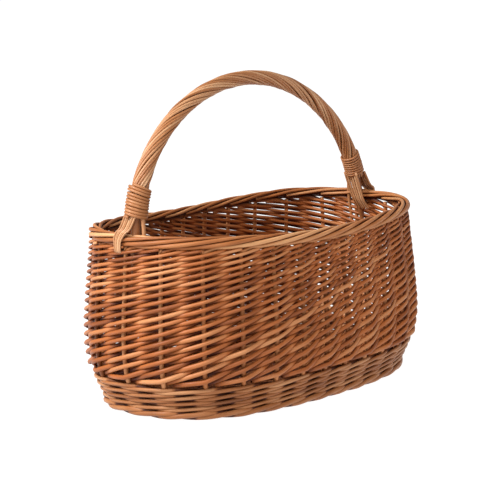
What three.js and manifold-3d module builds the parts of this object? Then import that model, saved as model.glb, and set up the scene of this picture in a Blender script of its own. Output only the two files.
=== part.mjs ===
// Oval market basket of willow rods with a fixed roped bow handle.
// Millimetres, +Z up. The origin is on the floor under the middle of the basket and +X runs along it.
// Side stakes stand in a wall of weaving, between a rope-like foot and a plaited border.

import * as THREE from 'three';
import { mergeVertices } from 'three/addons/utils/BufferGeometryUtils.js';
import Module from 'manifold-3d';

const wasm = await Module();
wasm.setup();

// ---------------------------------------------------------------- driving dimensions

// Oval of the stakes just under the border, and the power that squares its corners.
const rimHalfLength = 200;
const rimHalfWidth = 116.5;
const ovalPower = 2.6;

// Wall, from the floor to the underside of the border, with the slight saddle of its rim.
const wallHeight = 177;
const endRise = 3.3;
const cornerRise = 1.3;
const wallHalfThickness = 5.2;

// How far the stakes lean out of the rim's oval, as [share of the wall's height, millimetres], and the
// shares of the height at which the solids of the siding and the stakes follow that lean.
const wallProfile = [
  [0, -13], [0.08, -8], [0.17, -1], [0.25, 4], [0.4, 6.8], [0.6, 5.8], [0.8, 2.7], [1, 0],
];
const wallShares = [0.28, 0.4, 0.6, 0.8];

// Stakes: numbered anticlockwise from +X, spread wider at the ends of the oval than along its sides,
// with a small drift towards the far side.
const stakeCount = 27;
const stakeRadius = 2.5;
const stakeShift = -0.65;
const stakeSpread = 0.122;
const stakeDrift = -0.0156;
const stakeFootLevel = 4.5;

// Bands of the wall and the border above it.
const footHeight = 14.5;
const footInnerReach = 12;
const footTaper = 3;
const upsettTop = 37;
const borderHeight = 12.5;
const borderInnerReach = 9;
const borderOuterReach = 5.2;
const borderBevel = 3;
const borderUndercut = 2;

// Base mat and its sticks: long sticks are threaded through slits in the cross sticks.
const matUnderside = 2.6;
const matThickness = 10;
const longStickRadius = 2.3;
const longStickPitch = 17;
const longStickCount = 3;
const crossStickRadius = 3.9;
const crossStickPitch = 48;
const crossStickCount = 5;
const stickEndMargin = 1;
const channelOvershoot = 6;

// Handle: a bow whose ends run down through the border and into the wall, each beside a stake, which
// turns it a little across the basket. A liner rod stands beside each end, in the same way.
const bowStakes = { left: 14, right: 1 };
const bowRadius = 5;
const bowFootInset = 6;
const bowRise = 158.4;
const bowLean = 15;
const bowEndDepth = 58;
const bowStakeMargin = 1;
const linerRadius = 2.3;
const linerDepth = 33;
const linerTopAboveBorder = 10;
const linerBowMargin = 3.7;
const linerStakeMargin = 1.2;
const ropingCount = 8;
const ropingRadius = 1.9;
const ropingTurns = 3.1;
const bindingLength = { left: 32.5, right: 27 };
const bindingThickness = 2.6;
const bindingAboveBorder = 17;
const ribbonWidth = 14;
const ribbonThickness = 3.4;
const ribbonTuck = 9;
const ribbonDrop = 3.5;
const outerRibbonSway = 15.5;
const outerRibbonEase = 2.4;
const innerRibbonSway = 12.4;
const innerRibbonEase = 1;

// Clearances: between pieces that touch, and round the roping where it crosses the bow's curve.
const fitGap = 0.3;
const ropingGap = 0.7;
const ribbonGap = 0.5;
const ribbonBow = 2.2;

// Fineness of the solids.
const ringSegments = 44;
const stakeSteps = 7;
const bowSteps = 38;
const archPoints = 17;
const archHalfAngle = THREE.MathUtils.degToRad(84);
const linerSteps = 9;
const bindingSteps = 4;
const bindingSides = 12;
const ribbonSteps = 10;
const ropingSteps = 26;
const slimSides = 5;
const stickSides = 8;

// ---------------------------------------------------------------- colours

const willow = { buff: 0xb98a58, pale: 0xcaa06c, brown: 0x8f6238, tan: 0xa97a48 };

function willowMaterial(colour) {
  return new THREE.MeshStandardMaterial({ color: colour, roughness: 0.55, metalness: 0 });
}

// ---------------------------------------------------------------- the oval and the wall

function signedPower(value, power) {
  return Math.sign(value) * Math.abs(value) ** power;
}

function ovalPoint(halfLength, halfWidth, turn) {
  return new THREE.Vector2(
    halfLength * signedPower(Math.cos(turn), 2 / ovalPower),
    halfWidth * signedPower(Math.sin(turn), 2 / ovalPower),
  );
}

// Turn of the oval at a share of the way round the rim, measured along the rim itself.
const rimTurns = (() => {
  const fineSteps = 1440;
  const lengths = [0];
  for (let i = 1; i <= fineSteps; i += 1) {
    const from = ovalPoint(rimHalfLength, rimHalfWidth, ((i - 1) * 2 * Math.PI) / fineSteps);
    const to = ovalPoint(rimHalfLength, rimHalfWidth, (i * 2 * Math.PI) / fineSteps);
    lengths.push(lengths[i - 1] + from.distanceTo(to));
  }
  return lengths.map((length) => length / lengths[fineSteps]);
})();

function turnAtShare(share) {
  const wanted = share - Math.floor(share);
  const after = Math.max(1, rimTurns.findIndex((reached) => reached >= wanted));
  const before = after - 1;
  const within = (wanted - rimTurns[before]) / (rimTurns[after] - rimTurns[before]);
  return ((before + within) * 2 * Math.PI) / (rimTurns.length - 1);
}

// Smooth curve through the profile's points, held level beyond its two ends.
function leanAt(heightShare) {
  const points = wallProfile;
  const at = THREE.MathUtils.clamp(heightShare, 0, 1);
  const i = Math.min(points.length - 2, Math.max(0, points.findIndex((p) => p[0] >= at) - 1));
  const slope = (a, b) => (points[b][1] - points[a][1]) / (points[b][0] - points[a][0]);
  const step = points[i + 1][0] - points[i][0];
  const startSlope = slope(Math.max(0, i - 1), i + 1);
  const endSlope = slope(i, Math.min(points.length - 1, i + 2));
  const t = (at - points[i][0]) / step;
  return (2 * t ** 3 - 3 * t ** 2 + 1) * points[i][1] + (t ** 3 - 2 * t ** 2 + t) * step * startSlope
    + (3 * t ** 2 - 2 * t ** 3) * points[i + 1][1] + (t ** 3 - t ** 2) * step * endSlope;
}

// Height of the border's underside: highest at the two ends, lowest at the middle of the sides.
function rimHeightAt(turn) {
  const rim = ovalPoint(1, 1, turn);
  const across = (rim.x ** 2 - rim.y ** 2) / rim.lengthSq();
  return wallHeight + endRise * across - cornerRise * (2 * across ** 2 - 1);
}

// A place in the wall: share of the way round, level on a wall without the saddle, and reach
// outward from the middle of the stakes.
function wallPoint(share, level, reach) {
  const turn = turnAtShare(share);
  const lean = leanAt(level / wallHeight);
  const place = ovalPoint(rimHalfLength + lean + reach, rimHalfWidth + lean + reach, turn);
  const rimHeight = rimHeightAt(turn);
  const height = level <= wallHeight ? (level * rimHeight) / wallHeight : rimHeight + level - wallHeight;
  return new THREE.Vector3(place.x, place.y, height);
}

// ---------------------------------------------------------------- solids

// Vertices are shared, and triangles that shrank to a line where a profile meets its axis are left out.
function closed(geometry) {
  const bare = geometry.clone();
  bare.deleteAttribute('normal');
  bare.deleteAttribute('uv');
  const merged = mergeVertices(bare, 1e-4);
  const corners = merged.index.array;
  const kept = [];
  for (let i = 0; i < corners.length; i += 3) {
    const [a, b, c] = corners.slice(i, i + 3);
    if (a !== b && b !== c && c !== a) kept.push(a, b, c);
  }
  merged.setIndex(kept);
  return merged;
}

function toSolid(geometry) {
  const merged = closed(geometry);
  const vertProperties = new Float32Array(merged.attributes.position.array);
  const triVerts = new Uint32Array(merged.index.array);
  return new wasm.Manifold(new wasm.Mesh({ numProp: 3, vertProperties, triVerts }));
}

function toGeometry(solid) {
  const mesh = solid.getMesh();
  const geometry = new THREE.BufferGeometry();
  geometry.setAttribute('position', new THREE.BufferAttribute(new Float32Array(mesh.vertProperties), 3));
  geometry.setIndex(new THREE.BufferAttribute(new Uint32Array(mesh.triVerts), 1));
  return geometry;
}

function cut(geometry, cutters) {
  let solid = toSolid(geometry);
  for (const cutter of cutters) {
    solid = solid.subtract(toSolid(cutter));
  }
  return toGeometry(solid);
}

function roundSection(radius, sides) {
  const section = new THREE.Shape();
  for (let i = 0; i < sides; i += 1) {
    const angle = (i * 2 * Math.PI) / sides;
    const corner = [radius * Math.cos(angle), radius * Math.sin(angle)];
    if (i === 0) section.moveTo(...corner);
    else section.lineTo(...corner);
  }
  return section;
}

function sweep(section, curve, steps) {
  return new THREE.ExtrudeGeometry(section, { steps, bevelEnabled: false, extrudePath: curve });
}

function rod(curve, radius, sides, steps) {
  return sweep(roundSection(radius, sides), curve, steps);
}

// A closed section of [reach, level] points is spun to a ring, and the ring is led round the wall.
function wallRing(section) {
  const spinRadius = rimHalfLength;
  const profile = section.map(([reach, level]) => new THREE.Vector2(spinRadius + reach, level));
  profile.push(profile[0].clone());
  const ring = new THREE.LatheGeometry(profile, ringSegments);
  const corners = ring.attributes.position;
  for (let i = 0; i < corners.count; i += 1) {
    const share = Math.floor(i / profile.length) / ringSegments;
    const { x: across, y: level } = profile[i % profile.length];
    const place = wallPoint(share, level, across - spinRadius);
    corners.setXYZ(i, place.x, place.y, place.z);
  }
  return ring;
}

// Section of a band of weaving between two levels, with an extra pair of points at each middle level.
function bandSection(bottom, top, middles) {
  const levels = [bottom, ...middles, top];
  const outside = levels.map((level) => [wallHalfThickness, level]);
  const inside = levels.map((level) => [-wallHalfThickness, level]).reverse();
  return [...outside, ...inside];
}

const basket = new THREE.Group();

function addPiece(name, geometry, colour) {
  const piece = new THREE.Mesh(closed(geometry), willowMaterial(colour));
  piece.name = name;
  basket.add(piece);
}

// ---------------------------------------------------------------- base: sticks and woven mat

const matHalfLength = rimHalfLength + wallProfile[0][1] - footInnerReach - fitGap;
const matHalfWidth = rimHalfWidth + wallProfile[0][1] - footInnerReach - fitGap;
const stickLevel = matUnderside + matThickness / 2;

// Half of the mat's extent along one axis at a distance from its middle along the other.
function matReach(half, otherHalf, distance) {
  return half * (1 - Math.abs(distance / otherHalf) ** ovalPower) ** (1 / ovalPower);
}

function stick(alongX, offset, half, radius) {
  const from = alongX ? [-half, offset] : [offset, -half];
  const to = alongX ? [half, offset] : [offset, half];
  const line = new THREE.LineCurve3(
    new THREE.Vector3(from[0], from[1], stickLevel),
    new THREE.Vector3(to[0], to[1], stickLevel),
  );
  return rod(line, radius, stickSides, 1);
}

function centredOffsets(count, pitch) {
  return Array.from({ length: count }, (_, i) => (i - (count - 1) / 2) * pitch);
}

const longSticks = centredOffsets(longStickCount, longStickPitch).map((offset) => ({
  offset,
  half: matReach(matHalfLength, matHalfWidth, offset) - stickEndMargin,
}));
const crossSticks = centredOffsets(crossStickCount, crossStickPitch).map((offset) => ({
  offset,
  half: matReach(matHalfWidth, matHalfLength, offset) - stickEndMargin,
}));

const longChannels = longSticks.map(({ offset, half }) => (
  stick(true, offset, half + channelOvershoot, longStickRadius + fitGap)
));
const crossChannels = crossSticks.map(({ offset, half }) => (
  stick(false, offset, half + channelOvershoot, crossStickRadius + fitGap)
));

longSticks.forEach(({ offset, half }, i) => {
  addPiece(`base_stick_long_${i + 1}`, stick(true, offset, half, longStickRadius), willow.tan);
});
crossSticks.forEach(({ offset, half }, i) => {
  const slit = cut(stick(false, offset, half, crossStickRadius), longChannels);
  addPiece(`base_stick_cross_${i + 1}`, slit, willow.tan);
});

function woundMat() {
  const top = matUnderside + matThickness;
  const profile = [
    new THREE.Vector2(0, matUnderside),
    new THREE.Vector2(1, matUnderside),
    new THREE.Vector2(1, top),
    new THREE.Vector2(0, top),
  ];
  const mat = new THREE.LatheGeometry(profile, ringSegments);
  const corners = mat.attributes.position;
  for (let i = 0; i < corners.count; i += 1) {
    const share = Math.floor(i / profile.length) / ringSegments;
    const { x: out, y: level } = profile[i % profile.length];
    const place = ovalPoint(matHalfLength * out, matHalfWidth * out, turnAtShare(share));
    corners.setXYZ(i, place.x, place.y, level);
  }
  return mat;
}

addPiece('base_weave', cut(woundMat(), [...longChannels, ...crossChannels]), willow.tan);

// ---------------------------------------------------------------- side stakes

// Share of the way round at which a stake stands.
function stakeShare(index) {
  const even = (index + stakeShift) / stakeCount;
  const spread = (stakeSpread * Math.sin(4 * Math.PI * even)) / (4 * Math.PI);
  const drift = (stakeDrift * (Math.cos(2 * Math.PI * even) - 1)) / (2 * Math.PI);
  return even + spread + drift;
}

function stakeCurve(index, endGap) {
  const share = stakeShare(index);
  const top = wallHeight - fitGap + endGap;
  const bottom = stakeFootLevel - endGap;
  const middles = wallShares.map((height) => height * wallHeight);
  const levels = [bottom, footHeight, upsettTop, ...middles, top];
  return new THREE.CatmullRomCurve3(levels.map((level) => wallPoint(share, level, 0)));
}

const stakeChannels = [];
for (let i = 0; i < stakeCount; i += 1) {
  const name = `stake_${String(i + 1).padStart(2, '0')}`;
  addPiece(name, rod(stakeCurve(i, 0), stakeRadius, slimSides, stakeSteps), willow.buff);
  stakeChannels.push(rod(stakeCurve(i, fitGap), stakeRadius + fitGap, slimSides, stakeSteps));
}

// ---------------------------------------------------------------- bow and liner rods

// The bow's feet: how far along the basket they stand, and how far across it, beside their stakes.
const bowFootX = rimHalfLength - bowFootInset;
const bowStakeGap = stakeRadius + bowRadius + fitGap + bowStakeMargin;
const bowStakeY = {
  left: wallPoint(stakeShare(bowStakes.left), wallHeight, 0).y,
  right: wallPoint(stakeShare(bowStakes.right), wallHeight, 0).y,
};
const bowFootY = { left: bowStakeY.left - bowStakeGap, right: bowStakeY.right - bowStakeGap };
const endRimHeight = rimHeightAt(0);
const borderTop = endRimHeight + borderHeight;
const bindingBottom = borderTop + bindingAboveBorder;

// Middle of the stakes at an end of the oval, for a height above the floor.
function endWallX(height) {
  return rimHalfLength + leanAt(height / endRimHeight);
}

// Where a rod that comes down through the border turns out into the wall: [depth below the rim, share].
const enteringWall = [[2, 0.4], [14, 0.9], [24, 1]];

// Points of such a rod from its top down to its own depth, on the +X side of the middle.
function footPoints(depth, topHeight) {
  const points = [[bowFootX, topHeight]];
  for (const [below, share] of enteringWall) {
    const height = endRimHeight - below;
    points.push([THREE.MathUtils.lerp(bowFootX, endWallX(height), share), height]);
  }
  const lowest = endRimHeight - depth;
  points.push([endWallX(lowest), lowest]);
  return points;
}

// The arch is half an ellipse that leans towards -X. Its angle runs from -90 degrees at the left foot.
function archPoint(angle) {
  const x = bowFootX * Math.sin(angle) - bowLean * Math.cos(angle);
  const y = THREE.MathUtils.lerp(bowFootY.left, bowFootY.right, (1 + Math.sin(angle)) / 2);
  return new THREE.Vector3(x, y, endRimHeight + bowRise * Math.cos(angle));
}

const arch = Array.from({ length: archPoints }, (_, i) => (
  archPoint(archHalfAngle * ((2 * i) / (archPoints - 1) - 1))
));

function bowCurve(endGap) {
  const foot = footPoints(bowEndDepth + endGap, endRimHeight + borderHeight / 6);
  const left = foot.map(([x, z]) => new THREE.Vector3(-x, bowFootY.left, z)).reverse();
  const right = foot.map(([x, z]) => new THREE.Vector3(x, bowFootY.right, z));
  return new THREE.CatmullRomCurve3([...left, ...arch, ...right], false, 'centripetal');
}

addPiece('handle_bow', rod(bowCurve(0), bowRadius, stickSides, bowSteps), willow.tan);
const bowChannel = rod(bowCurve(fitGap), bowRadius + fitGap, stickSides, bowSteps);

// The left liner stands against the bow, and the right one beyond the stake that the bow stands beside.
const linerY = {
  left: bowFootY.left - (bowRadius + linerRadius + fitGap + linerBowMargin),
  right: bowStakeY.right + stakeRadius + linerRadius + fitGap + linerStakeMargin,
};

function linerCurve(name, side, endGap) {
  const points = footPoints(linerDepth + endGap, borderTop + linerTopAboveBorder + endGap);
  return new THREE.CatmullRomCurve3(points.map(([x, z]) => new THREE.Vector3(side * x, linerY[name], z)));
}

const ends = [['left', -1], ['right', 1]];
const linerChannels = [];
for (const [name, side] of ends) {
  const liner = rod(linerCurve(name, side, 0), linerRadius, slimSides, linerSteps);
  addPiece(`handle_liner_${name}`, liner, willow.buff);
  linerChannels.push(rod(linerCurve(name, side, fitGap), linerRadius + fitGap, slimSides, linerSteps));
}

// ---------------------------------------------------------------- foot, wale, siding and border

const wallChannels = [...stakeChannels, bowChannel, ...linerChannels];

const footSection = [
  [wallHalfThickness - footTaper / 2, 0],
  [wallHalfThickness, footHeight / 2],
  [wallHalfThickness, footHeight],
  [footTaper - footInnerReach, footHeight],
  [-footInnerReach, footHeight / 2],
  [-footInnerReach, 0],
];
addPiece('foot_rope', cut(wallRing(footSection), stakeChannels), willow.brown);

const upsettSection = bandSection(footHeight + fitGap, upsettTop, []);
addPiece('upsett_wale', cut(wallRing(upsettSection), stakeChannels), willow.brown);

const sidingMiddles = wallShares.map((height) => height * wallHeight);
const sidingSection = bandSection(upsettTop + fitGap, wallHeight - fitGap, sidingMiddles);
addPiece('siding', cut(wallRing(sidingSection), wallChannels), willow.buff);

const borderSection = [
  [borderOuterReach - borderUndercut, wallHeight],
  [borderOuterReach, wallHeight + borderHeight / 2],
  [borderOuterReach - borderBevel, wallHeight + borderHeight],
  [borderBevel - borderInnerReach, wallHeight + borderHeight],
  [-borderInnerReach, wallHeight + borderHeight / 2],
  [borderUndercut - borderInnerReach, wallHeight],
];
addPiece('border', cut(wallRing(borderSection), [bowChannel, ...linerChannels]), willow.buff);

// ---------------------------------------------------------------- roping, bindings and ribbons

// Arch angle at which the bow reaches a height, on the left (-1) or the right (1).
function archAngleAtHeight(height, side) {
  return side * Math.acos((height - endRimHeight) / bowRise);
}

const ropingRingRadius = bowRadius + ropingGap + ropingRadius;
const ropingEnd = { left: archAngleAtHeight(bindingBottom, -1), right: archAngleAtHeight(bindingBottom, 1) };

// A strand of roping, a pair of thin rods side by side, winds round the bow from foot to foot.
function ropingCurve(index) {
  const points = [];
  for (let i = 0; i <= ropingSteps; i += 1) {
    const share = i / ropingSteps;
    const angle = THREE.MathUtils.lerp(ropingEnd.left, ropingEnd.right, share);
    const centre = archPoint(angle);
    const along = archPoint(angle + 0.01).sub(archPoint(angle - 0.01)).normalize();
    const outward = new THREE.Vector3(-along.z, 0, along.x);
    const wind = 2 * Math.PI * (index / ropingCount - share * ropingTurns);
    const side = new THREE.Vector3(0, ropingRingRadius * Math.sin(wind), 0);
    points.push(centre.addScaledVector(outward, ropingRingRadius * Math.cos(wind)).add(side));
  }
  return new THREE.CatmullRomCurve3(points);
}

for (let i = 0; i < ropingCount; i += 1) {
  addPiece(`roping_strand_${i + 1}`, rod(ropingCurve(i), ropingRadius, slimSides, ropingSteps), willow.pale);
}

// A binding is the lapped sleeve that squeezes the roping on to the bow above each foot.
const bindingInnerRadius = ropingRingRadius + ropingRadius + ropingGap;

function binding(name, side) {
  const angles = [0, 0.5, 1].map((share) => (
    archAngleAtHeight(bindingBottom + share * bindingLength[name], side)
  ));
  const curve = new THREE.CatmullRomCurve3(angles.map(archPoint));
  const section = roundSection(bindingInnerRadius + bindingThickness, bindingSides);
  section.holes.push(roundSection(bindingInnerRadius, bindingSides));
  return sweep(section, curve, bindingSteps);
}

// Distance of the bow's middle from the basket's middle at a height above the border's underside.
function bowReach(height, side) {
  return Math.abs(archPoint(archAngleAtHeight(height, side)).x);
}

const halfRibbon = ribbonThickness / 2 + fitGap;
const ribbonTop = bindingBottom - ribbonDrop;
const tuckHeight = endRimHeight - ribbonTuck;
const ribbonFromBow = bowRadius + halfRibbon + ribbonGap;
const outerFaceX = rimHalfLength + borderOuterReach + halfRibbon + ribbonGap;

// A ribbon is a flat bundle of roping ends. It leaves the binding, straddles the border and sways
// across the bow's foot on its way down.
function ribbon(name, side, outline, sway, ease) {
  const section = new THREE.Shape();
  section.moveTo(-ribbonWidth / 2, -ribbonThickness / 2);
  section.lineTo(ribbonWidth / 2, -ribbonThickness / 2);
  section.lineTo(ribbonWidth / 2, ribbonThickness / 2);
  section.lineTo(-ribbonWidth / 2, ribbonThickness / 2);
  const curve = new THREE.CatmullRomCurve3(outline.map(([x, z]) => new THREE.Vector3(side * x, 0, z)));
  const strip = sweep(section, curve, ribbonSteps);
  const corners = strip.attributes.position;
  for (let i = 0; i < corners.count; i += 1) {
    const down = THREE.MathUtils.clamp((ribbonTop - corners.getZ(i)) / (ribbonTop - tuckHeight), 0, 1);
    const across = bowFootY[name] - side * sway * (1 - (1 - down) ** ease);
    corners.setY(i, corners.getY(i) + across);
  }
  return strip;
}

function outerRibbon(side) {
  return [
    [bowReach(ribbonTop, side) + ribbonFromBow, ribbonTop],
    [bowReach(borderTop, side) + ribbonFromBow + ribbonBow, borderTop + borderHeight / 2],
    [rimHalfLength + borderOuterReach + ribbonGap, borderTop + halfRibbon],
    [outerFaceX + ribbonGap, endRimHeight + (2 * borderHeight) / 3],
    [outerFaceX + ribbonGap, endRimHeight + borderHeight / 3],
    [endWallX(tuckHeight) + wallHalfThickness + halfRibbon + ribbonGap, tuckHeight],
  ];
}

function innerRibbon(side) {
  return [
    [bowReach(ribbonTop, side) - ribbonFromBow, ribbonTop],
    [bowReach(borderTop, side) - ribbonFromBow, borderTop],
    [bowReach(endRimHeight, side) - ribbonFromBow, endRimHeight + borderUndercut],
    [endWallX(tuckHeight) - wallHalfThickness - halfRibbon - ribbonGap, tuckHeight],
  ];
}

for (const [name, side] of ends) {
  const outer = ribbon(name, side, outerRibbon(side), outerRibbonSway, outerRibbonEase);
  const inner = ribbon(name, side, innerRibbon(side), innerRibbonSway, innerRibbonEase);
  addPiece(`binding_${name}`, binding(name, side), willow.brown);
  addPiece(`ribbon_${name}_outer`, outer, willow.pale);
  addPiece(`ribbon_${name}_inner`, inner, willow.pale);
}

export default basket;
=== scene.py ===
# Oval market basket of willow rods, with a fixed roped bow handle.
# Metres, +Z up. +X runs along the basket and the maker works round it anticlockwise, seen from above.
import math
import random

import bpy
import numpy as np
from mathutils import Matrix, Vector


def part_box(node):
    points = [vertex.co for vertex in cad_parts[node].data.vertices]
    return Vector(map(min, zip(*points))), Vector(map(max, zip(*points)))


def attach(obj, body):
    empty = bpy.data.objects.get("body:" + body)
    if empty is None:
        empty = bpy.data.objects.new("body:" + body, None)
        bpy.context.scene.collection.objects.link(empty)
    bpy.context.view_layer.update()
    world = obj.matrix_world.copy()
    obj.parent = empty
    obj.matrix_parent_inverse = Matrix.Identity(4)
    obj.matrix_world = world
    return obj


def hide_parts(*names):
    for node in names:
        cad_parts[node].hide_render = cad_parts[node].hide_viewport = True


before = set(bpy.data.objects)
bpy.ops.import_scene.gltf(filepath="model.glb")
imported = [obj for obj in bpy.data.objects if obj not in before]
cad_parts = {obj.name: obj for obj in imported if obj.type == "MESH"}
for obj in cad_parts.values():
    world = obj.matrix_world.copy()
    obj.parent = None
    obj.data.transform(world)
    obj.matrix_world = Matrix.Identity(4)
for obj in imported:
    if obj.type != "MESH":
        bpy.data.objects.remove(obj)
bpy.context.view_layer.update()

# ---- Base sticks ---------------------------------------------------------------------------------
# The slath: three long willow sticks threaded through slits in five stouter cross sticks.
# Everything else hangs on it, so the oval, the wall's shape and the ways of making rods start here.
MM = 0.001
BORDER_OUTER_REACH = 5.2 * MM
OVAL_POWER = 2.6
END_RISE = 3.3 * MM
CORNER_RISE = 1.3 * MM
WALL_PROFILE = [(0, -13), (0.08, -8), (0.17, -1), (0.25, 4), (0.4, 6.8), (0.6, 5.8), (0.8, 2.7), (1, 0)]
FINE_TURNS = 1440
ROD_SIDES = 8

border_low, border_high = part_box("border")
RIM_HALF_LENGTH = border_high.x - BORDER_OUTER_REACH
RIM_HALF_WIDTH = border_high.y - BORDER_OUTER_REACH
BORDER_HEIGHT = 12.5 * MM
WALL_HEIGHT = border_low.z + END_RISE + CORNER_RISE


def oval_point(half_length, half_width, turn):
    """A point of an oval with fuller corners than an ellipse, turned anticlockwise from +X."""
    def power(value):
        return math.copysign(abs(value) ** (2 / OVAL_POWER), value)
    return half_length * power(math.cos(turn)), half_width * power(math.sin(turn))


def rim_shares():
    """The share of the rim's length that is passed at each fine turn."""
    turns = [2 * math.pi * i / FINE_TURNS for i in range(FINE_TURNS + 1)]
    rim = [oval_point(RIM_HALF_LENGTH, RIM_HALF_WIDTH, turn) for turn in turns]
    lengths = [0.0]
    for before, after in zip(rim, rim[1:]):
        lengths.append(lengths[-1] + math.dist(before, after))
    return [length / lengths[-1] for length in lengths]


RIM_SHARES = rim_shares()


def lean_at(height_share):
    """How far the wall stands out from under the rim, by a smooth line through the wall's profile."""
    shares = [at for at, _ in WALL_PROFILE]
    leans = [lean * MM for _, lean in WALL_PROFILE]
    at = min(max(height_share, 0.0), 1.0)
    i = min(max(sum(share < at for share in shares) - 1, 0), len(shares) - 2)

    def slope(a, b):
        return (leans[b] - leans[a]) / (shares[b] - shares[a])
    step = shares[i + 1] - shares[i]
    start, end = slope(max(0, i - 1), i + 1), slope(i, min(len(shares) - 1, i + 2))
    t = (at - shares[i]) / step
    return ((2 * t**3 - 3 * t**2 + 1) * leans[i] + (t**3 - 2 * t**2 + t) * step * start
            + (3 * t**2 - 2 * t**3) * leans[i + 1] + (t**3 - t**2) * step * end)


def rim_height_at(turn):
    """The rim is a saddle: a little higher at the two ends than along the sides."""
    x, y = oval_point(1, 1, turn)
    across = (x * x - y * y) / (x * x + y * y)
    return WALL_HEIGHT + END_RISE * across - CORNER_RISE * (2 * across**2 - 1)


def wall_point(share, level, reach):
    """Share of the way round, level on a wall with a flat rim, reach outward from the stakes' middle."""
    turn = 2 * math.pi * float(np.interp(share % 1.0, RIM_SHARES, np.arange(FINE_TURNS + 1))) / FINE_TURNS
    out = lean_at(level / WALL_HEIGHT) + reach
    x, y = oval_point(RIM_HALF_LENGTH + out, RIM_HALF_WIDTH + out, turn)
    rim = rim_height_at(turn)
    z = level * rim / WALL_HEIGHT if level <= WALL_HEIGHT else rim + level - WALL_HEIGHT
    return Vector((x, y, z))


def smooth_line(points, steps_each=6):
    """A Catmull-Rom line through given points, so that a rod bends evenly."""
    ends = [points[0] * 2 - points[1], *points, points[-1] * 2 - points[-2]]
    line = []
    for a, b, c, d in zip(ends, ends[1:], ends[2:], ends[3:]):
        for i in range(steps_each):
            t = i / steps_each
            line.append(0.5 * (2 * b + (c - a) * t + (2 * a - 5 * b + 4 * c - d) * t**2
                               + (3 * b - a - 3 * c + d) * t**3))
    line.append(points[-1])
    return line


class Rod:
    """One willow rod: its line, its thickness from butt to tip, its own tone, its painted shade, and the side
    it lies on.
    """

    def __init__(self, line, butt, tip=None, tone=0.5, shelter=None, ring=False, lies_on=None):
        self.line = line
        tip = butt if tip is None else tip
        count = len(line)
        self.radii = [butt + (tip - butt) * i / (count - 1) for i in range(count)]
        self.tone = tone
        self.shelter = shelter or [0.0] * count
        self.ring = ring
        self.lies_on = lies_on


def rod_mesh(name, rods, sides=ROD_SIDES):
    """Tubes round the rods' lines. Each vertex knows its place in the grain, its tone and its painted shade.
    """
    places, faces, grain, tones, painted_shades = [], [], [], [], []
    for number, rod in enumerate(rods):
        line = np.array(rod.line)
        along = np.roll(line, -1, 0) - np.roll(line, 1, 0)
        if not rod.ring:
            along[0], along[-1] = line[1] - line[0], line[-1] - line[-2]
        along /= np.linalg.norm(along, axis=1)[:, None]
        steps = np.linalg.norm(np.diff(line, axis=0), axis=1)
        travelled = np.concatenate([[0], np.cumsum(steps)])
        first = len(places)
        up = np.array([0, 0, 1.0]) if abs(along[0][2]) < 0.9 else np.array([0, 1.0, 0])
        for k, (middle, direction, radius) in enumerate(zip(line, along, rod.radii)):
            up = up - direction * np.dot(up, direction)
            up /= np.linalg.norm(up)
            side = np.cross(direction, up)
            for corner in range(sides):
                angle = 2 * math.pi * corner / sides
                across, rise = radius * math.cos(angle), radius * math.sin(angle)
                outward = side * across + up * rise
                places.append(middle + outward)
                grain.append((across, rise, travelled[k] + 0.7 * number))
                tones.append(rod.tone)
                # Painted shade: a vertex takes the rod's shade in full on the side facing what the rod lies
                # on, less at its flanks and none on the far side.
                facing = 1.0
                if rod.lies_on:
                    facing = max(0.0, 0.3 + 0.7 * float(np.dot(outward, rod.lies_on[k])) / radius)
                painted_shades.append(rod.shelter[k] * facing)
        rings = len(line)
        for k in range(rings if rod.ring else rings - 1):
            here, there = first + k * sides, first + (k + 1) % rings * sides
            for corner in range(sides):
                after = (corner + 1) % sides
                faces.append((here + corner, there + corner, there + after, here + after))
        if not rod.ring:
            faces.append(tuple(first + corner for corner in range(sides)))
            last = first + (rings - 1) * sides
            faces.append(tuple(last + corner for corner in reversed(range(sides))))
    mesh = bpy.data.meshes.new(name)
    mesh.from_pydata([tuple(place) for place in places], [], faces)
    for label, kind, values in (("tone", "FLOAT", tones), ("shelter", "FLOAT", painted_shades),
                                ("grain", "FLOAT_VECTOR", grain)):
        layer = mesh.attributes.new(label, kind, "POINT")
        layer.data.foreach_set("vector" if kind == "FLOAT_VECTOR" else "value", np.array(values).ravel())
    mesh.update()
    mesh.shade_smooth()
    return mesh


def add_rods(name, rods, material, nodes, sides=ROD_SIDES):
    piece = bpy.data.objects.new(name, rod_mesh(name, rods, sides))
    bpy.context.scene.collection.objects.link(piece)
    piece.data.materials.append(material)
    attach(piece, "root")
    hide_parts(*nodes)


class Shade:
    """A socket that takes part in sums: the maths nodes are added as the sum is written."""

    def __init__(self, tree, socket):
        self.tree, self.socket = tree, socket

    def maths(self, operation, *others):
        node = self.tree.nodes.new("ShaderNodeMath")
        node.operation = operation
        for place, value in zip(node.inputs, (self, *others)):
            if isinstance(value, Shade):
                self.tree.links.new(value.socket, place)
            else:
                place.default_value = value
        return Shade(self.tree, node.outputs[0])

    def __add__(self, other):
        return self.maths("ADD", other)

    def __radd__(self, other):
        return self.maths("ADD", other)

    def __sub__(self, other):
        return self.maths("SUBTRACT", other)

    def __rsub__(self, other):
        return self.maths("MULTIPLY", -1.0).maths("ADD", other)

    def __mul__(self, other):
        return self.maths("MULTIPLY", other)

    def __rmul__(self, other):
        return self.maths("MULTIPLY", other)

    def clamped(self):
        return self.maths("MAXIMUM", 0.0).maths("MINIMUM", 1.0)


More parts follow.
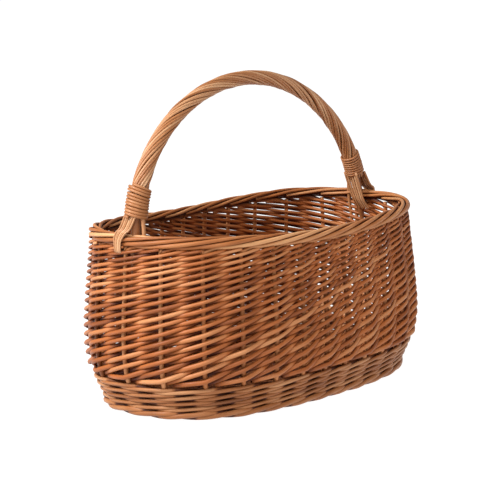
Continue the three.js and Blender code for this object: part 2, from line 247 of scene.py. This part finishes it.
class Finish:
    """A material under construction on a Principled shader."""

    def __init__(self, name):
        self.material = bpy.data.materials.new(name)
        self.material.use_nodes = True
        self.tree = self.material.node_tree
        self.shader = next(n for n in self.tree.nodes if n.type == "BSDF_PRINCIPLED")

    def node(self, kind, settings=None, inputs=None, output=0):
        node = self.tree.nodes.new(kind)
        for name, value in (settings or {}).items():
            if name == "stops":
                ramp = node.color_ramp
                while len(ramp.elements) < len(value):
                    ramp.elements.new(1.0)
                for element, (place, colour) in zip(ramp.elements, value):
                    element.position, element.color = place, colour
            else:
                setattr(node, name, value)
        for name, value in (inputs or {}).items():
            if isinstance(value, Shade):
                self.tree.links.new(value.socket, node.inputs[name])
            else:
                node.inputs[name].default_value = value
        return Shade(self.tree, node.outputs[output])

    def feed(self, name, value):
        if isinstance(value, Shade):
            self.tree.links.new(value.socket, self.shader.inputs[name])
        else:
            self.shader.inputs[name].default_value = value


def willow(name, dark, mid, light, rough=0.46, gloss=0.3):
    """Boiled, stripped willow: each rod its own buff, fine streaks along it, darker by painted shade deep in
    the weave.
    """
    finish = Finish(name)
    tone = finish.node("ShaderNodeAttribute", {"attribute_name": "tone"}, output="Fac")
    shelter = finish.node("ShaderNodeAttribute", {"attribute_name": "shelter"}, output="Fac")
    grain = finish.node("ShaderNodeAttribute", {"attribute_name": "grain"}, output="Vector")
    drawn_out = finish.node("ShaderNodeMapping", inputs={"Vector": grain, "Scale": (1, 1, 0.05)})
    streaks = finish.node("ShaderNodeTexNoise", inputs={
        "Vector": drawn_out, "Scale": 900.0, "Detail": 3.0, "Roughness": 0.6})
    long_patches = finish.node("ShaderNodeTexNoise", inputs={
        "Vector": finish.node("ShaderNodeMapping", inputs={"Vector": grain, "Scale": (0.5, 0.5, 0.35)}),
        "Scale": 70.0, "Detail": 2.0})
    place = finish.node("ShaderNodeTexCoord", output="Object")
    sunned = finish.node("ShaderNodeTexNoise", inputs={"Vector": place, "Scale": 9.0, "Detail": 2.0})
    # Painted shade: the colour is pulled towards the ramp's dark end where a rod lies deep in the weave or
    # against its neighbours.
    shade = (tone + 0.42 * (long_patches - 0.5) + 0.30 * (streaks - 0.5) + 0.35 * (sunned - 0.5)
             - 0.6 * shelter)
    colour = finish.node("ShaderNodeValToRGB", {"stops": [(0.0, dark), (0.5, mid), (1.0, light)]},
                         {"Fac": shade.clamped()})
    finish.feed("Base Color", colour)
    finish.feed("Roughness", rough + 0.18 * (streaks - 0.5) + 0.12 * shelter)
    finish.feed("Specular IOR Level", gloss)
    ridges = 0.7 * streaks + 0.5 * long_patches
    finish.feed("Normal", finish.node("ShaderNodeBump", inputs={
        "Strength": 0.35, "Distance": 0.0004, "Height": ridges}))
    return finish.material


def tones(seed, spread=0.2, middle=0.5):
    """A maker's bundle: most rods are alike and a few are much paler or browner."""
    draw = random.Random(seed)
    while True:
        tone = draw.gauss(middle, spread * 0.6)
        if draw.random() < 0.1:
            tone += draw.choice((-1, 1)) * spread
        yield min(max(tone, 0.0), 1.0)


BASE_WILLOW = willow("base_willow", (0.09, 0.022, 0.006, 1), (0.36, 0.12, 0.035, 1), (0.58, 0.28, 0.12, 1))
LONG_STICK = 2.3 * MM
CROSS_STICK = 3.9 * MM
stick_tones = tones(11)


def base_stick(node, radius):
    """One straight stick along its node's longer side, a little thinner at its tip."""
    low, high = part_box(node)
    middle, half = (low + high) / 2, (high - low) / 2
    along = Vector((half.x, 0, 0)) if half.x > half.y else Vector((0, half.y, 0))
    line = [middle + along * (i / 8 - 1) for i in range(17)]
    # Painted shade: each stick is darkened evenly along its length.
    rod = Rod(line, radius, radius * 0.94, next(stick_tones), [0.4] * len(line))
    add_rods(f"{node}_rod", [rod], BASE_WILLOW, [node])


for number in range(1, 4):
    base_stick(f"base_stick_long_{number}", LONG_STICK)
for number in range(1, 6):
    base_stick(f"base_stick_cross_{number}", CROSS_STICK)

# ---- Base weave ----------------------------------------------------------------------------------
# Thin rods paired round the sticks, out from the slath in growing ovals until they meet the foot.
# Each round is two rods that change places, over and under, at every stick.
mat_low, mat_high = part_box("base_weave")
MAT_ROD = 1.75 * MM
MAT_PITCH = 3.9 * MM
MAT_MIDDLE = (mat_low.z + mat_high.z) / 2
MAT_SWING = 2.2 * MM
MAT_INTO_FOOT = 11.8 * MM
MAT_HOLE = 12 * MM
PAIRING_WAVES = 26
CENTRE_PITCH = 3.4 * MM
CENTRE_SWING = 2.7 * MM
CENTRE_PAST = 10 * MM
CENTRE_STEPS = 80

mat_tones = tones(12)
# Painted shade: every rod of the base weave is darkened evenly, the centre rows a little more.
mat_rods = []
rounds = int((mat_high.y + MAT_INTO_FOOT - MAT_HOLE) / MAT_PITCH)
for around in range(rounds):
    inset = around * MAT_PITCH + MAT_ROD - MAT_INTO_FOOT
    half_length, half_width = mat_high.x - inset, mat_high.y - inset
    for partner in (0, 1):
        line = []
        count = PAIRING_WAVES * 6
        for i in range(count):
            turn = 2 * math.pi * i / count
            x, y = oval_point(half_length, half_width, turn)
            swing = math.sin(PAIRING_WAVES * turn + partner * math.pi)
            line.append(Vector((x, y, MAT_MIDDLE + MAT_SWING * swing)))
        mat_rods.append(Rod(line, MAT_ROD, tone=next(mat_tones), shelter=[0.25] * count, ring=True))
centre_reach = mat_high.x - mat_high.y + CENTRE_PAST
for row in range(-3, 4):
    line = []
    for i in range(CENTRE_STEPS + 1):
        over_and_under = CENTRE_SWING * math.cos(math.pi * (i / 5 + row))
        line.append(Vector((centre_reach * (2 * i / CENTRE_STEPS - 1), row * CENTRE_PITCH,
                            MAT_MIDDLE + over_and_under)))
    mat_rods.append(Rod(line, MAT_ROD, tone=next(mat_tones), shelter=[0.3] * len(line)))
add_rods("base_weave_rods", mat_rods, BASE_WILLOW, ["base_weave"], sides=6)

# ---- Side stakes ---------------------------------------------------------------------------------
# Straight stout rods pushed into the base beside its sticks and pricked up at the foot.
# They show as uprights between the strokes of the weave, and their tops are turned down in the border.
STAKES = 27
STAKE_SHIFT = -0.65
STAKE_SPREAD = 0.122
STAKE_DRIFT = -0.0156
STAKE_BUTT = 2.65 * MM
STAKE_TOP = 2.2 * MM
STAKE_START = 5.2 * MM
STAKE_STEPS = 24
STAKE_WILLOW = willow("stake_willow", (0.17, 0.042, 0.009, 1), (0.52, 0.180, 0.055, 1), (0.72, 0.37, 0.17, 1))


def stake_share(number):
    """Stakes are numbered anticlockwise from +X and are spread wider at the ends than along the sides."""
    even = (number + STAKE_SHIFT) / STAKES
    return (even + STAKE_SPREAD * math.sin(4 * math.pi * even) / (4 * math.pi)
            + STAKE_DRIFT * (math.cos(2 * math.pi * even) - 1) / (2 * math.pi))


stake_tones = tones(21)
for number in range(STAKES):
    share = stake_share(number)
    draw = random.Random(100 + number)
    sway = draw.uniform(-0.02, 0.02)
    line = []
    for i in range(STAKE_STEPS + 1):
        level = STAKE_START + (WALL_HEIGHT - 5 * MM) * i / STAKE_STEPS
        bow = math.sin(math.pi * i / STAKE_STEPS) * sway / STAKES
        line.append(wall_point(share + bow, level, 0.0))
    node = f"stake_{number + 1:02d}"
    rod = Rod(line, STAKE_BUTT, STAKE_TOP, next(stake_tones))
    add_rods(f"{node}_rod", [rod], STAKE_WILLOW, [node])

# ---- Foot rope and upsett wale -------------------------------------------------------------------
# Waling with three rods at a time: each goes in front of two stakes and behind one, and the three
# take turns, so a row looks like a laid rope. Heavy rods turn the corner and lighter rows follow.
FOOT_ROD = 2.75 * MM
FOOT_LEVEL = 5.6 * MM
WALE_ROD = 2.0 * MM
WALE_LEVELS = [12.6, 19.0, 25.6, 32.2]
WALE_STEPS_A_BAY = 10
WALE_WILLOW = willow("wale_willow", (0.06, 0.010, 0.001, 1), (0.33, 0.112, 0.032, 1), (0.66, 0.34, 0.16, 1))


def wale_row(level, radius, climb, swing, tone_source, seed, reach_in=0.0):
    """Three closed rods, a third of a stroke apart."""
    rods = []
    draw = random.Random(seed)
    for rod_number in range(3):
        line, lies_on = [], []
        wobble = [draw.uniform(-0.6, 0.6) * MM for _ in range(STAKES)]
        for i in range(STAKES * WALE_STEPS_A_BAY):
            bay = i // WALE_STEPS_A_BAY
            stakes_passed = i / WALE_STEPS_A_BAY
            phase = (stakes_passed - rod_number) / 3
            front = -math.cos(2 * math.pi * phase)
            reach = swing * max(-1.0, min(1.0, 0.35 + 1.15 * front)) + reach_in
            before, after = wobble[bay], wobble[(bay + 1) % STAKES]
            uneven = before + (after - before) * (stakes_passed % 1)
            height = -climb * math.sin(2 * math.pi * phase) + uneven
            place = stake_share(stakes_passed)
            line.append(wall_point(place, level + height, reach))
            inward = wall_point(place, level, 0) - wall_point(place, level, 10 * MM)
            lies_on.append(inward.normalized() * (1 if front > 0 else -1))
        # Painted shade in full, on the side of each rod that faces the stakes.
        shelter = [1.0] * len(line)
        rods.append(Rod(line, radius, tone=next(tone_source), shelter=shelter, ring=True, lies_on=lies_on))
    return rods


wale_tones = tones(31)
foot = wale_row(FOOT_LEVEL, FOOT_ROD, 2.3 * MM, 3.0 * MM, wale_tones, 41, 1.8 * MM)
add_rods("foot_rope_rods", foot, WALE_WILLOW, ["foot_rope"])
upsett = []
for row, level in enumerate(WALE_LEVELS):
    upsett += wale_row(level * MM, WALE_ROD, 1.9 * MM, 3.3 * MM, wale_tones, 42 + row)
add_rods("upsett_wale_rods", upsett, WALE_WILLOW, ["upsett_wale"])

# ---- Siding --------------------------------------------------------------------------------------
# French randing, three weavers for each stake: every one goes in front of one stake and behind the next,
# and all climb side by side. Butts at the bottom make coarse rows and tips at the top make fine ones.
SIDING_BOTTOM = 38.5 * MM
WEAVERS_A_STAKE = 3
SIDING_ROWS = 17.5
FIRST_ROW = 10.5 * MM
LAST_ROW = 5.3 * MM
WEAVER_BUTT = 2.6 * MM
WEAVER_TIP = 1.55 * MM
WEAVER_BEND = 0.86
SIDING_REACH = 0.5 * MM
BUTT_BAYS = 0.75
SAMPLES_A_BAY = 8
SIDING_WILLOW = willow("siding_willow", (0.075, 0.011, 0.001, 1), (0.385, 0.108, 0.024, 1),
                       (0.66, 0.315, 0.135, 1))


def siding_level(rows):
    """Height of the weave after a number of rows, which grow finer on the way up."""
    return SIDING_BOTTOM + FIRST_ROW * rows - (FIRST_ROW - LAST_ROW) * rows**2 / (2 * SIDING_ROWS)


siding_tones = tones(51, spread=0.17)
weavers = []
for number in range(STAKES):
    for layer in range(WEAVERS_A_STAKE):
        draw = random.Random(500 + WEAVERS_A_STAKE * number + layer)
        bays_woven = (2 * SIDING_ROWS - layer) / WEAVERS_A_STAKE
        jitter = [draw.gauss(0, 0.3) * MM for _ in range(int(bays_woven) + 4)]
        thick = draw.uniform(0.93, 1.07)
        count = round((bays_woven + BUTT_BAYS) * SAMPLES_A_BAY) + 1
        line, shelter, radii, lies_on = [], [], [], []
        for i in range(count):
            bays = i / SAMPLES_A_BAY - BUTT_BAYS
            rows = (WEAVERS_A_STAKE * bays + layer) / 2
            if bays <= 0:
                rows = layer / 2 * (1 + bays / BUTT_BAYS)
            across = math.cos(math.pi * (bays + layer))
            weave = math.asin(0.97 * across) / math.asin(0.97)
            if bays < 0 and layer != 1:
                weave = 1.0
            radius = thick * (WEAVER_BUTT + (WEAVER_TIP - WEAVER_BUTT) * rows / SIDING_ROWS)
            at = bays + 1
            lift = jitter[int(at)] * (1 - at % 1) + jitter[int(at) + 1] * (at % 1)
            swing = WEAVER_BEND * (STAKE_BUTT + radius)
            place, level = stake_share(number + bays), siding_level(rows) + lift
            line.append(wall_point(place, level, SIDING_REACH - swing * weave))
            # Painted shade: strongest where a weaver crosses a stake, on its side towards the stake, and none
            # midway between stakes.
            past_stake = wall_point(place, level, math.copysign(10 * MM, weave))
            lies_on.append((past_stake - wall_point(place, level, 0)).normalized())
            shelter.append(abs(weave))
            radii.append(radius)
        weaver = Rod(line, WEAVER_BUTT, WEAVER_TIP, next(siding_tones), shelter, lies_on=lies_on)
        weaver.radii = radii
        weavers.append(weaver)
add_rods("siding_weavers", weavers, SIDING_WILLOW, ["siding"], sides=7)

# ---- Bow and liner rods --------------------------------------------------------------------------
# One stout rod bent end to end over the basket. Its ends go down through the border and into the wall,
# each beside a stake, so the bow stands a little askew. A thinner liner rod goes down near each end.
BOW_RADIUS = 5.0 * MM
BOW_RISE = 158.4 * MM
BOW_LEAN = 15 * MM
BOW_DEPTH = 58 * MM
BOW_FOOT = RIM_HALF_LENGTH - 6 * MM
END_RIM = rim_height_at(0.0)
BORDER_TOP = END_RIM + BORDER_HEIGHT
BINDING_BOTTOM = BORDER_TOP + 17 * MM
ENTERING_WALL = [(2, 0.4), (14, 0.9), (24, 1.0)]
BEHIND_WEAVERS = 2.6 * MM
FOOT_BESIDE_STAKE = 8.8 * MM
SLYPE_POINTS = 19
LEFT_STAKE_Y = wall_point(stake_share(14), WALL_HEIGHT, 0).y
RIGHT_STAKE_Y = wall_point(stake_share(1), WALL_HEIGHT, 0).y
FOOT_Y = {-1: LEFT_STAKE_Y - FOOT_BESIDE_STAKE, 1: RIGHT_STAKE_Y - FOOT_BESIDE_STAKE}
LINER_Y = {-1: FOOT_Y[-1] - 11.3 * MM, 1: RIGHT_STAKE_Y + 6.3 * MM}
HANDLE_WILLOW = willow("handle_willow", (0.10, 0.020, 0.003, 1), (0.38, 0.142, 0.047, 1),
                       (0.68, 0.39, 0.205, 1), rough=0.42, gloss=0.4)


def arch_point(angle):
    """The bow's middle at an angle from upright, from the left foot at -90 degrees to the right one at 90."""
    across = (1 + math.sin(angle)) / 2
    return Vector((BOW_FOOT * math.sin(angle) - BOW_LEAN * math.cos(angle),
                   FOOT_Y[-1] * (1 - across) + FOOT_Y[1] * across, END_RIM + BOW_RISE * math.cos(angle)))


def arch_angle(height, side):
    """The angle at which the bow passes a height, on one side of the basket."""
    return side * math.acos((height - END_RIM) / BOW_RISE)


def foot_line(depth, top, side, y):
    """Points of a rod from above the border down into the wall, on one side of the basket."""
    points = [Vector((side * BOW_FOOT, y, top))]
    for below, share in [*ENTERING_WALL, (depth / MM, 1.0)]:
        height = END_RIM - below * MM
        wall = RIM_HALF_LENGTH + lean_at(height / END_RIM) - BEHIND_WEAVERS
        points.append(Vector((side * (BOW_FOOT + (wall - BOW_FOOT) * share), y, height)))
    return points


arch = [arch_point(math.radians(-84 + 10.5 * i)) for i in range(17)]
left_foot = foot_line(BOW_DEPTH, END_RIM + 2 * MM, -1, FOOT_Y[-1])
right_foot = foot_line(BOW_DEPTH, END_RIM + 2 * MM, 1, FOOT_Y[1])
bow_line = smooth_line([*reversed(left_foot), *arch, *right_foot])
bow = Rod(bow_line, BOW_RADIUS, BOW_RADIUS, 0.3)
for i in range(SLYPE_POINTS):
    slype = 0.4 + 0.6 * (i / SLYPE_POINTS) ** 1.6
    bow.radii[i] *= slype
    bow.radii[-1 - i] *= slype
add_rods("handle_bow_rod", [bow], HANDLE_WILLOW, ["handle_bow"], sides=16)

LINER_RADIUS = 2.3 * MM
LINER_DEPTH = 33 * MM
for side, word in ((-1, "left"), (1, "right")):
    points = foot_line(LINER_DEPTH, BORDER_TOP + 4 * MM, side, LINER_Y[side])
    towards_bow = LINER_Y[side] + (FOOT_Y[side] - LINER_Y[side]) * 0.25
    points.insert(0, Vector((side * (BOW_FOOT - 1 * MM), towards_bow, BINDING_BOTTOM + 3 * MM)))
    liner = Rod(smooth_line(points), LINER_RADIUS * 0.95, LINER_RADIUS * 0.75, 0.6)
    add_rods(f"handle_liner_{word}_rod", [liner], HANDLE_WILLOW, [f"handle_liner_{word}"])

# ---- Border --------------------------------------------------------------------------------------
# A rolled border of the stakes' own tops: each is turned down to the right over the outside, lies
# along the rim under its neighbours, rolls over the top and ends on the inside.
BORDER_WILLOW = willow("border_willow", (0.075, 0.012, 0.001, 1), (0.38, 0.122, 0.032, 1),
                       (0.66, 0.33, 0.145, 1))
BORDER_ROD = 2.65 * MM
BORDER_TIP = 1.5 * MM
BORDER_SPAN = 5.0
BORDER_STEPS_A_BAY = 9
TURN_DOWN_BAYS = 0.35
ROLL_CENTRE = (-1.6 * MM, 6.3 * MM)
ROLL_HALF = (5.4 * MM, 4.7 * MM)
ROLL_FROM = math.radians(-85)
ROLL_A_BAY = math.radians(62)
BORDER_CORE = 2.6 * MM
CORE_STEPS = 162

border_tones = tones(61, spread=0.24, middle=0.58)
border_rods = []
for number in range(STAKES):
    draw = random.Random(600 + number)
    loose = draw.uniform(-0.3, 0.4) * MM
    line, lies_on = [], []
    for i in range(int(BORDER_SPAN * BORDER_STEPS_A_BAY) + 1):
        bays = i / BORDER_STEPS_A_BAY
        angle = ROLL_FROM + ROLL_A_BAY * max(0.0, bays - TURN_DOWN_BAYS)
        turned = min(1.0, bays / TURN_DOWN_BAYS)
        tucked = 1 - 0.5 * max(0.0, bays - BORDER_SPAN + 1)
        reach = (ROLL_CENTRE[0] + (ROLL_HALF[0] + loose) * tucked * math.cos(angle)) * turned
        rise = ROLL_CENTRE[1] + (ROLL_HALF[1] + loose) * tucked * math.sin(angle)
        rise = rise * turned - 5 * MM * (1 - turned)
        place = stake_share(number + bays * (0.4 + 0.6 * turned))
        line.append(wall_point(place, WALL_HEIGHT + rise, reach))
        # Painted shade in full, on the side of each rod that faces the middle of the roll.
        middle = wall_point(place, WALL_HEIGHT + ROLL_CENTRE[1], ROLL_CENTRE[0])
        lies_on.append((middle - line[-1]).normalized())
    rod = Rod(line, BORDER_ROD, BORDER_TIP, next(border_tones), [1.0] * len(line), lies_on=lies_on)
    border_rods.append(rod)
# A core rod runs round inside the roll, of a low tone and under full painted shade all round.
core = [wall_point(i / CORE_STEPS, WALL_HEIGHT + ROLL_CENTRE[1], ROLL_CENTRE[0]) for i in range(CORE_STEPS)]
border_rods.append(Rod(core, BORDER_CORE, tone=0.2, shelter=[1.0] * CORE_STEPS, ring=True))
add_rods("border_rods", border_rods, BORDER_WILLOW, ["border"])

# ---- Roping --------------------------------------------------------------------------------------
# Thin rods laid on the bow in pairs and wound round it from foot to foot, about one turn a hand's
# width. They lie nearly straight where they leave the bindings and tighten towards the top.
ROPING_PAIRS = 8
ROPING_ROD = 1.5 * MM
ROPING_RING = BOW_RADIUS + ROPING_ROD - 0.1 * MM
ROPING_SWELL = 1.5 * MM
ROPING_TURNS = 3.1
ROPING_STEPS = 150

left_end, right_end = arch_angle(BINDING_BOTTOM, -1), arch_angle(BINDING_BOTTOM, 1)


def round_the_bow(angle, wind, radius):
    """A point at a distance from the bow's middle, wound round it from its outer side."""
    centre = arch_point(angle)
    along = (arch_point(angle + 0.01) - arch_point(angle - 0.01)).normalized()
    outward = Vector((-along.z, 0, along.x))
    return centre + outward * (radius * math.cos(wind)) + Vector((0, radius * math.sin(wind), 0))


roping_tones = tones(71, middle=0.68)
for pair in range(ROPING_PAIRS):
    rods = []
    for partner in (-0.25, 0.25):
        draw = random.Random(700 + 10 * pair + int(partner * 4))
        drift = draw.uniform(-0.10, 0.10)
        lift = draw.uniform(-0.3, 0.5) * MM
        line, lies_on = [], []
        for i in range(ROPING_STEPS + 1):
            along = i / ROPING_STEPS
            wind = 2 * math.pi * ((pair + partner * 0.92) / ROPING_PAIRS - along * ROPING_TURNS)
            wind += drift * math.sin(5 * along * math.pi)
            angle = left_end + (right_end - left_end) * along
            swell = ROPING_SWELL * (2 * along - 1) ** 2
            line.append(round_the_bow(angle, wind, ROPING_RING + swell + lift))
            lies_on.append((arch_point(angle) - line[-1]).normalized())
        # Painted shade in full, on the side of each rod that lies against the bow.
        shelter = [1.0] * len(line)
        rods.append(Rod(line, ROPING_ROD, ROPING_ROD * 0.95, next(roping_tones), shelter, lies_on=lies_on))
    name = f"roping_strand_{pair + 1}"
    add_rods(f"{name}_rods", rods, HANDLE_WILLOW, [name], sides=7)

# ---- Bindings ------------------------------------------------------------------------------------
# One thin rod lapped round and round the roping above each foot, its turns lying side by side and
# sloping a little across the handle.
LAP_RING = ROPING_RING + ROPING_SWELL + ROPING_ROD
LAP_STEPS_A_TURN = 24
# Start above the binding's bottom, length, number of turns, rod, slope, and bite into the roping.
BINDINGS = {(-1, "left"): (0.5, 30.5, 10, 1.7, 1.5, 0.15), (1, "right"): (3.8, 22.5, 8, 1.5, 0.4, 1.05)}
for (side, word), (start, length, turns, radius, slope, bite) in BINDINGS.items():
    draw = random.Random(80 + side)
    sag = [draw.uniform(-0.35, 0.35) * MM for _ in range(turns + 2)]
    ring = LAP_RING + (radius - bite) * MM
    line, lies_on = [], []
    count = turns * LAP_STEPS_A_TURN
    for i in range(count + 1):
        along = i / count
        turn = turns * along
        uneven = sag[int(turn)] * (1 - turn % 1) + sag[int(turn) + 1] * (turn % 1)
        wind = 2 * math.pi * turn
        height = BINDING_BOTTOM + (start + length * along + slope * math.sin(wind)) * MM + uneven
        angle = arch_angle(height, side)
        line.append(round_the_bow(angle, wind, ring + uneven * 0.5))
        lies_on.append((arch_point(angle) - line[-1]).normalized())
    # Painted shade in full, on the side of the lap that lies against the roping.
    lap = Rod(line, radius * MM, radius * 0.92 * MM, 0.5, [1.0] * len(line), lies_on=lies_on)
    add_rods(f"binding_{word}_lap", [lap], HANDLE_WILLOW, [f"binding_{word}"])

# ---- Ribbons -------------------------------------------------------------------------------------
# Below the binding the roping rods splay into flat ribbons. One goes over the border and is tucked in
# under it outside, the other goes down its inner face. Both sway across the bow's foot.
RIBBON_RODS = 6
RIBBON_ROD = 1.15 * MM
RIBBON_TIP = 0.8 * MM
RIBBON_PITCH = 2.2 * RIBBON_ROD
RIBBON_PROUD = 0.45 * MM
RIBBON_TUCK = 9 * MM
RIBBON_TOP = BINDING_BOTTOM + 5 * MM
TUCK_HEIGHT = END_RIM - RIBBON_TUCK


def bow_reach(height, side):
    """How far out from the basket's middle the bow stands at a height."""
    return abs(arch_point(arch_angle(height, side)).x)


def ribbon_outline(side, outer):
    """Points of [reach along the basket, height, sway across the foot, spread of the rods]."""
    off = BOW_RADIUS + RIBBON_ROD
    wall = RIM_HALF_LENGTH + lean_at(TUCK_HEIGHT / END_RIM)
    if outer:
        face = RIM_HALF_LENGTH + BORDER_OUTER_REACH + 2.2 * MM
        return [(bow_reach(RIBBON_TOP, side) + off + 1.6 * MM, RIBBON_TOP, 0, 1.1),
                (bow_reach(BORDER_TOP, side) + off + 2.4 * MM, BORDER_TOP + 7 * MM, 6.5, 1.05),
                (RIM_HALF_LENGTH + 6.2 * MM, BORDER_TOP + 2.4 * MM, 10, 0.98),
                (face, BORDER_TOP - 3 * MM, 12.6, 0.8),
                (face, END_RIM + 4 * MM, 14, 0.62),
                (wall + 5.2 * MM, TUCK_HEIGHT + 4 * MM, 14.8, 0.54),
                (wall - 1.5 * MM, TUCK_HEIGHT + 1 * MM, 15.2, 0.66)]
    return [(bow_reach(RIBBON_TOP, side) - off - 2 * MM, RIBBON_TOP, 0, 1.1),
            (bow_reach(BORDER_TOP, side) - off - 2 * MM, BORDER_TOP, 5, 1.05),
            (bow_reach(END_RIM, side) - off - 1 * MM, END_RIM + 2 * MM, 8.8, 1.0),
            (wall - 7 * MM, TUCK_HEIGHT, 12.4, 1.1)]


# How much each ribbon sways, fans out and is made of thick rods, as shares of the plain ribbon.
SWAY_FAN_THICK = {("left", "outer"): (1.0, 1.0, 1.0), ("left", "inner"): (1.0, 1.0, 1.0),
                  ("right", "outer"): (0.45, 1.15, 1.25), ("right", "inner"): (0.55, 1.2, 1.2)}

ribbon_tones = tones(91, middle=0.72)
for side, word in ((-1, "left"), (1, "right")):
    for outer, place in ((True, "outer"), (False, "inner")):
        sway_share, fan, thick = SWAY_FAN_THICK[word, place]
        rods = []
        for number in range(RIBBON_RODS):
            spread = (number - (RIBBON_RODS - 1) / 2) * RIBBON_PITCH * fan
            proud = RIBBON_PROUD * (number % 2)
            points = []
            for reach, height, sway, wide in ribbon_outline(side, outer):
                across = FOOT_Y[side] - side * sway * sway_share * MM + spread * wide
                points.append(Vector((side * (reach + proud), across, height)))
            butt, tip = RIBBON_ROD * thick, RIBBON_TIP * thick
            rods.append(Rod(smooth_line(points), butt, tip, next(ribbon_tones)))
        name = f"ribbon_{word}_{place}"
        add_rods(f"{name}_rods", rods, HANDLE_WILLOW, [name], sides=7)

# ---- Floor, light and camera ---------------------------------------------------------------------
# A seamless white floor, one large soft light from the left and a weaker one from high in front.
# The camera stands higher than the handle and looks at the basket's front left corner.
bpy.ops.object.select_all(action="DESELECT")
bpy.ops.mesh.primitive_plane_add(size=60, location=(0, 0, 0))
floor = bpy.context.object
floor.name = "floor"
paper = Finish("white_paper")
paper.feed("Base Color", (0.2, 0.2, 0.2, 1))
paper.feed("Roughness", 1.0)
paper.feed("Specular IOR Level", 0.0)
paper.feed("Emission Color", (1, 1, 1, 1))
paper.feed("Emission Strength", 0.97)
floor.data.materials.append(paper.material)

world = bpy.data.worlds.new("studio")
bpy.context.scene.world = world
world.use_nodes = True
room = world.node_tree.nodes["Background"]
room.inputs["Color"].default_value = (1, 1, 1, 1)
room.inputs["Strength"].default_value = 0.36

LIGHT_AIM = Vector((0, 0, 0.1))


def soft_light(name, place, size, power):
    """A square soft box that points at the foot of the basket."""
    bpy.ops.object.light_add(type="AREA", location=place)
    lamp = bpy.context.object
    lamp.name = name
    lamp.data.size = size
    lamp.data.energy = power
    lamp.data.color = (0.94, 0.98, 1.0)
    lamp.rotation_mode = "QUATERNION"
    lamp.rotation_quaternion = (LIGHT_AIM - Vector(place)).to_track_quat("-Z", "Y")


soft_light("key", (-1.53, 0.71, 1.5), 1.0, 64)
soft_light("fill", (-1.4, -1.1, 2.1), 1.2, 34)

CAMERA_AZIMUTH = math.radians(-48.75)
CAMERA_ELEVATION = math.radians(9.13)
CAMERA_DISTANCE = 2.294
CAMERA_ROLL = math.radians(-1.18)
CAMERA_FOCAL_SHARE = 4.3683
SENSOR_WIDTH = 36
AIM_RIGHT = -0.01639
AIM_UP = 0.15938

to_right = Vector((math.cos(CAMERA_AZIMUTH), math.sin(CAMERA_AZIMUTH), 0))
forward = Vector((-math.sin(CAMERA_AZIMUTH) * math.cos(CAMERA_ELEVATION),
                  math.cos(CAMERA_AZIMUTH) * math.cos(CAMERA_ELEVATION), -math.sin(CAMERA_ELEVATION)))
upward = to_right.cross(forward)
camera_data = bpy.data.cameras.new("camera")
camera_data.sensor_width = SENSOR_WIDTH
camera_data.lens = SENSOR_WIDTH * CAMERA_FOCAL_SHARE
camera = bpy.data.objects.new("camera", camera_data)
bpy.context.scene.collection.objects.link(camera)
across = to_right * math.cos(CAMERA_ROLL) + upward * math.sin(CAMERA_ROLL)
over = -to_right * math.sin(CAMERA_ROLL) + upward * math.cos(CAMERA_ROLL)
turned = Matrix((across, over, -forward)).transposed().to_4x4()
aim = to_right * AIM_RIGHT + Vector((0, 0, AIM_UP))
camera.matrix_world = Matrix.Translation(aim - forward * CAMERA_DISTANCE) @ turned
bpy.context.scene.camera = camera
bpy.context.scene.view_settings.view_transform = "Standard"
